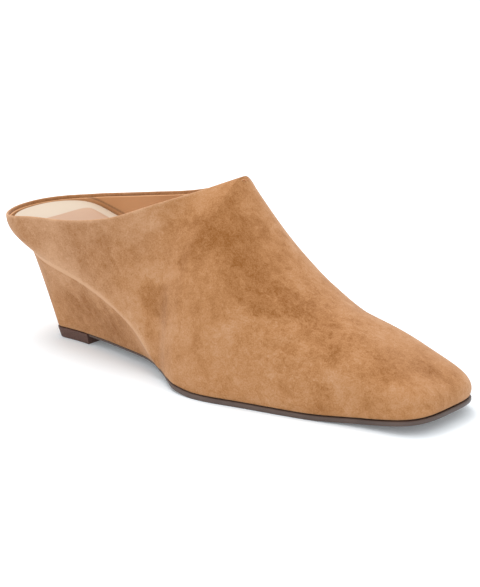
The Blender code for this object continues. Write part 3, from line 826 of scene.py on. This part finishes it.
wedge_ribs = np.count_nonzero(rib_starts <= CORE_END * LENGTH)
foot_ring = as_ring(*wedge_foot(rib_starts))
covered = (wedge_cover > LEAST_COVER)[:, None]
floor_ring = suede_in[:, 0].copy()
floor_ring[:, 2] = sole_top(floor_ring[:, 0]) + CLEARANCE
wall_start = ridge_line + COVER_START * turn[:, None] * way_on
along_ridge = np.roll(ridge_line, -1, axis=0) - np.roll(ridge_line, 1, axis=0)
in_from_wall = unit(np.cross(down_wall, along_ridge))
in_from_wall = in_from_wall * np.sign(-(in_from_wall * rib_out[:, 0]).sum(axis=-1, keepdims=True))
tucked = wall_start + COVER_TUCK * in_from_wall
foot_inset = foot_ring + FOOT_TURN * in_from_wall * (1, 1, 0)
foot_above = foot_ring - FOOT_TURN * down_wall
foot_turn = turned(foot_inset, foot_ring, foot_above, count=3)
wall_share = np.linspace(0, 1, WALL_ROWS)[None, :, None]
wall_rows = foot_above[:, None] * (1 - wall_share) + turn_end[:, None] * wall_share
core_ring = at_height(LINING_IN + CLEARANCE, STACK)
core_share = np.linspace(0, 1, CORE_ROWS + 2)[None, 1:-1, None]
core_base = np.where(covered, suede_in[:, 1], floor_ring)
core_rows = core_base[:, None] * (1 - core_share) + core_ring[:, None] * core_share
wedge_rounds = np.concatenate([foot_turn, wall_rows, tucked[:, None], core_base[:, None]], axis=1)
wedge_rounds = np.where(covered[:, None], wedge_rounds, floor_ring[:, None])
wedge_rounds = np.concatenate([wedge_rounds, core_rows], axis=1)
foot_line = np.where(covered, foot_inset, floor_ring)


def wedge_sides(ring):
    """Both sides of a ring, as far forward as the wedge reaches."""
    return [side[:wedge_ribs] for side in as_sides(ring)]


def round_caps(ring):
    """The values of a ring, in the order of the border of the wedge's two caps."""
    return border(straight_across(*wedge_sides(ring)))


foot_cap = plate(*wedge_sides(foot_line), lambda x, y: sole_top(x) + CLEARANCE)
core_cap = plate(*wedge_sides(core_ring), lambda x, y: bed_height(x, y, STACK))
rings = [round_caps(ring) for ring in wedge_rounds.swapaxes(0, 1)]
# Painted highlight, with rubbed nap, on the wedge's wall just under the ridge.
ridge_highlight_and_rubbing = (nearness(wedge_rounds, ridge_line, WALL_HIGHLIGHT_REACH) * on_wedge)[..., None]
ridge_highlight_and_rubbing = np.stack([round_caps(ring)[:, 0] for ring in ridge_highlight_and_rubbing.swapaxes(0, 1)], axis=1)
on_caps = np.zeros(2 * foot_cap.shape[0] * foot_cap.shape[1])
ridge_highlight_and_rubbing = np.concatenate([on_caps, np.pad(ridge_highlight_and_rubbing, ((0, 0), (1, 1))).ravel()])
wedge = layered("suede_wedge", foot_cap, rings, core_cap, {"ridge": ridge_highlight_and_rubbing})
wedge.data.materials.append(suede)
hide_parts("wedge")
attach(wedge, "root")


# Insole
# The padded board under the sock, covered in tan leather and glued in over the wedge's core and the
# outsole. Only its rim shows, as a dark band round the sock.
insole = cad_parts["insole"]
board, shader, place = new_material("insole_board", Roughness=0.7)
grain = noise(place, 700, 3.0)
colour = grain.between(0.3, 0.7).mix((0.42, 0.195, 0.08, 1), (0.52, 0.26, 0.12, 1))
feed(shader, Base_Color=colour, Normal=grain.bump(0.3, 0.0003))
insole.data.materials.clear()
insole.data.materials.append(board)


# Sock
# The sock lining, cut from smooth cream leather and glued on the insole from heel to toe. Its edge is
# turned down all round.
SOCK_INSET, SOCK_TURN = 0.0012, 0.00075


def sock_ring(angle):
    """The ring at one angle of the sock's turned edge, a quarter circle from its side to its top."""
    inset = SOCK_INSET + SOCK_TURN * (1 - np.cos(angle))
    return at_height(LINING_IN + CLEARANCE + inset, SOCK_TURN * (1 - np.sin(angle)))


def sock_grid(ring, drop):
    """A level of the sock inside a ring, at a drop below the footbed."""
    return plate(*as_sides(ring), lambda x, y: bed_height(x, y, drop))


under_ring = at_height(LINING_IN + CLEARANCE + SOCK_INSET, SOCK_THICKNESS)
sock_turn = [sock_ring(angle) for angle in np.radians((0, 20, 42, 66, 90))]
sock_rounds = [border(straight_across(*as_sides(ring))) for ring in sock_turn[:-1]]
sock_under = sock_grid(under_ring, SOCK_THICKNESS)
sock = layered("sock_lining", sock_under, sock_rounds, sock_grid(sock_turn[-1], 0))

cream_calf, shader, place = new_material(
    "cream_calf", Roughness=0.48, Coat_Weight=0.1, Coat_Roughness=0.4
)
cloudy = noise(place, 24, 2.0).between(0.25, 0.75)
feed(
    shader,
    Base_Color=cloudy.mix((0.545, 0.43, 0.315, 1), (0.59, 0.48, 0.37, 1)),
    Normal=pores(place, 1700.0).bump(0.1, 0.0002),
    Roughness=0.42 + cloudy * 0.14,
)
sock.data.materials.append(cream_calf)
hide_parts("sock")
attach(sock, "root")


# Heel pad
# A thin tan leather panel glued on the sock under the heel. It is straight across at the back, with
# rounded corners, and round at its front.
PAD_SETBACK, PAD_LENGTH, PAD_SHARE, PAD_THICKNESS = 0.0212, 0.078, 0.66, 0.0008
PAD_BACK_ROUND, PAD_FRONT_ROUND = (0.0060, 4.0), (0.0250, 2.2)
PAD_TURN = 0.0005
PAD_SUNK = 0.00005  # how far it is pressed into the sock
PAD_STATIONS = 60


def pad_edges(inset):
    """Both edges of the pad, moved in by an inset: shares of the rim's width, with rounded ends."""
    back, front = PAD_SETBACK + inset, PAD_SETBACK + PAD_LENGTH - inset
    x = spread(back, front, PAD_STATIONS)
    reach = x / PEAK_REACH
    shares = [read(RIM, side, reach, "reach") for side in ("lateral", "medial")]
    widths = [PAD_SHARE * RIM_WIDTH * share - inset for share in shares]
    ends = rounded(x - back, PAD_BACK_ROUND) * rounded(front - x, PAD_FRONT_ROUND)
    lines = outline_edges(*widths, ends)
    return [np.stack([x, y, 0 * x], axis=-1) for y in lines]


def pad_grid(inset, rise):
    """A level of the pad, at a rise above the footbed, with its edges moved in by an inset."""
    return plate(*pad_edges(inset), lambda x, y: bed_height(x, y, -rise))


pad_levels = [
    (PAD_TURN * (1 - np.cos(angle)), PAD_THICKNESS - PAD_TURN * (1 - np.sin(angle)))
    for angle in np.radians((0, 30, 60))
]
pad_rounds = [border(pad_grid(inset, rise)) for inset, rise in pad_levels]
pad_under, pad_top = pad_grid(0, -PAD_SUNK), pad_grid(PAD_TURN, PAD_THICKNESS)
heel_pad = layered("heel_pad_panel", pad_under, pad_rounds, pad_top)

tan_calf, shader, place = new_material("tan_calf", Roughness=0.5, Coat_Weight=0.08, Coat_Roughness=0.45)
cloudy = noise(place, 40, 2.0).between(0.25, 0.75)
feed(
    shader,
    Base_Color=cloudy.mix((0.465, 0.275, 0.172, 1), (0.51, 0.315, 0.20, 1)),
    Normal=pores(place, 1700.0).bump(0.12, 0.0002),
    Roughness=0.44 + cloudy * 0.14,
)
heel_pad.data.materials.append(tan_calf)
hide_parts("heel_pad")
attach(heel_pad, "root")


# Outsole
# A thin sheet of brown resin rubber, cemented on. It is skived thin under the waist, where it lies inside
# the suede, and stands proud round the forepart. The corners of its trimmed edge are rounded off.
WAIST_THICKNESS, OUTSOLE_PROUD, WAIST_INSET = 0.0011, 0.0008, 0.0006
SHOWING_START, SHOWING_END = 0.480, 0.540  # where it comes out from under the suede, as shares of LENGTH
LIFT_LENGTH = 0.0242
SOLE_STATIONS = 170


def underside(x):
    """Height of the outsole's underside, skived thin in the waist."""
    skived = (OUTSOLE_THICKNESS - WAIST_THICKNESS) * read(GROUND, "waist", x / LENGTH)
    return sole_top(x) - OUTSOLE_THICKNESS + skived


def sole_edges(inset):
    """Both edges of the outsole, moved in by an inset: the wedge's foot, then the last's edge."""
    front = LENGTH + OUTSOLE_PROUD - inset
    x = spread(WEDGE_SETBACK + LIFT_LENGTH + CLEARANCE + inset, front, SOLE_STATIONS)
    showing = eased((x / LENGTH - SHOWING_START) / (SHOWING_END - SHOWING_START))
    proud = (WAIST_INSET + OUTSOLE_PROUD) * showing - WAIST_INSET - inset
    foot = [BALL_WIDTH * read(FOOT, side, x / LENGTH) for side in ("lateral", "medial")]
    last = [BALL_WIDTH * read(LAST, side, x / LENGTH) for side in ("lateral", "medial")]
    widths = [np.where(x < RIDGE_END * LENGTH, low, high) + proud for low, high in zip(foot, last)]
    lines = outline_edges(*widths, rounded(front - x, TOE_ROUND))
    return [np.stack([x, y, 0 * x], axis=-1) for y in lines]


def sole_grid(inset, share):
    """A level of the outsole: a share of the way from its underside to its top."""
    return plate(*sole_edges(inset), lambda x, y: underside(x) * (1 - share) + sole_top(x) * share)


# Its levels from the bottom up: how far each is moved in, and its share of the thickness.
SOLE_LEVELS = (
    (0.00040, 0.00),
    (0.00012, 0.08),
    (0.00000, 0.22),
    (0.00000, 0.50),
    (0.00000, 0.78),
    (0.00014, 0.92),
    (0.00045, 1.00),
)
sole_under, *sole_between, sole_upper = [sole_grid(inset, share) for inset, share in SOLE_LEVELS]
outsole = layered("outsole_sheet", sole_under, [border(level) for level in sole_between], sole_upper)

resin, shader, place = new_material("brown_resin", Roughness=0.5)
smears = noise(place, 60, 3.0).between(0.3, 0.7)
feed(
    shader,
    Base_Color=smears.mix((0.070, 0.043, 0.034, 1), (0.108, 0.070, 0.056, 1)),
    Normal=noise(place, 1500, 3.0).bump(0.25, 0.0003),
    Roughness=0.42 + smears * 0.18,
)
outsole.data.materials.append(resin)
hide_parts("outsole")
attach(outsole, "root")


# Top lift
# The lift of hard brown rubber, nailed under the back of the wedge. It is D-shaped, cut straight across
# at its front where the outsole starts.
LIFT_PROUD, LIFT_RAKE = 0.0003, 0.0012
LIFT_HEIGHT = WAIST_LIFT + OUTSOLE_THICKNESS
LIFT_STATIONS = 50


def lift_grid(inset, share):
    """A level of the lift: raked in towards the floor, with its edges moved in by an inset."""
    proud = LIFT_PROUD - LIFT_RAKE * (1 - share) - inset
    front = WEDGE_SETBACK + LIFT_LENGTH - inset
    x = front - (front - WEDGE_SETBACK + proud) * (1 - np.linspace(0, 1, LIFT_STATIONS) ** 2)
    widths = [BALL_WIDTH * read(FOOT, side, x / LENGTH) + proud for side in ("lateral", "medial")]
    lines = outline_edges(*widths, rounded(x - WEDGE_SETBACK + proud, FOOT_ROUND))
    edges = [np.stack([x, y, 0 * x], axis=-1) for y in lines]
    return plate(*edges, lambda x, y: LIFT_HEIGHT * share + 0 * x)


# Its levels from the floor up: how far each is moved in, and its share of the height.
LIFT_LEVELS = (
    (0.0006, 0.000),
    (0.0002, 0.020),
    (0.0000, 0.060),
    (0.0000, 0.350),
    (0.0000, 0.650),
    (0.0000, 0.950),
    (0.0001, 0.985),
    (0.0003, 1.000),
)
lift_under, *lift_between, lift_upper = [lift_grid(inset, share) for inset, share in LIFT_LEVELS]
top_lift = layered("rubber_lift", lift_under, [border(level) for level in lift_between], lift_upper)

lift_rubber, shader, place = new_material("lift_rubber", Roughness=0.6)
speckle = noise(place, 1300, 3.0)
colour = speckle.between(0.3, 0.7).mix((0.076, 0.032, 0.021, 1), (0.112, 0.050, 0.034, 1))
feed(shader, Base_Color=colour, Normal=speckle.bump(0.3, 0.0003))
top_lift.data.materials.append(lift_rubber)
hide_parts("top_lift")
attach(top_lift, "root")


# Floor, light and camera
# A plain pale studio: a wide floor, even light from all round with one soft box above, and the
# photograph's viewpoint.
FLOOR_SIZE = 20
floor_mesh = bpy.data.meshes.new("floor")
floor_corners = [(x * FLOOR_SIZE, y * FLOOR_SIZE, 0) for x, y in ((-1, -1), (1, -1), (1, 1), (-1, 1))]
floor_mesh.from_pydata(floor_corners, [], [(0, 1, 2, 3)])
floor = bpy.data.objects.new("floor", floor_mesh)
bpy.context.scene.collection.objects.link(floor)
pale_floor = new_material(
    "pale_floor",
    Roughness=0.9,
    Base_Color=(0.885, 0.935, 0.975, 1),
    Emission_Color=(0.92, 0.97, 1, 1),
    Emission_Strength=0.13,
)[0]
floor_mesh.materials.append(pale_floor)

world = bpy.data.worlds.new("studio")
world.use_nodes = True
world.node_tree.nodes["Background"].inputs["Color"].default_value = (1, 1, 1, 1)
world.node_tree.nodes["Background"].inputs["Strength"].default_value = 1.05
bpy.context.scene.world = world


def soft_box(name, place, aim, size, power):
    """A square area light at a place, turned by the angles of the way from its aim back to it."""
    data = bpy.data.lights.new(name, "AREA")
    data.size = size
    data.energy = power
    light = bpy.data.objects.new(name, data)
    bpy.context.scene.collection.objects.link(light)
    light.location = place
    back = np.array(place, float) - np.array(aim, float)
    light.rotation_euler = (np.arccos(back[2] / np.linalg.norm(back)), 0, np.arctan2(back[0], -back[1]))


soft_box("key", place=(-0.42, 0.18, 1.3), aim=(0, 0, 0.04), size=0.8, power=9)

AZIMUTH, ELEVATION, DISTANCE = np.radians(39.609), np.radians(16.727), 0.992838
YAW, PITCH = np.radians(-0.417), np.radians(0.144)
SENSOR, FRAME_HEIGHT, FOCAL_PIXELS = 36.0, 587, 2143.5
AIM = (0.126, 0, 0.038)  # the middle of the shoe, from the heel's back


def back_vector(azimuth, elevation):
    """The way from the shoe to a viewer: azimuth from the -Y side, elevation above the floor."""
    level = np.cos(elevation)
    return np.array((np.sin(azimuth) * level, -np.cos(azimuth) * level, np.sin(elevation)))


camera_data = bpy.data.cameras.new("camera")
camera_data.sensor_width = SENSOR
camera_data.lens = FOCAL_PIXELS * SENSOR / FRAME_HEIGHT
camera_data.clip_start = 0.05
camera_data.clip_end = 100
camera = bpy.data.objects.new("camera", camera_data)
bpy.context.scene.collection.objects.link(camera)
camera.location = MIDDLE + AIM + DISTANCE * back_vector(AZIMUTH, ELEVATION)
camera.rotation_euler = (np.pi / 2 - ELEVATION - PITCH, 0, AZIMUTH + YAW)
bpy.context.scene.camera = camera
bpy.context.scene.view_settings.view_transform = "Standard"


def corners(box):
    """A box as plain lists of numbers."""
    return [[float(value) for value in corner] for corner in box]
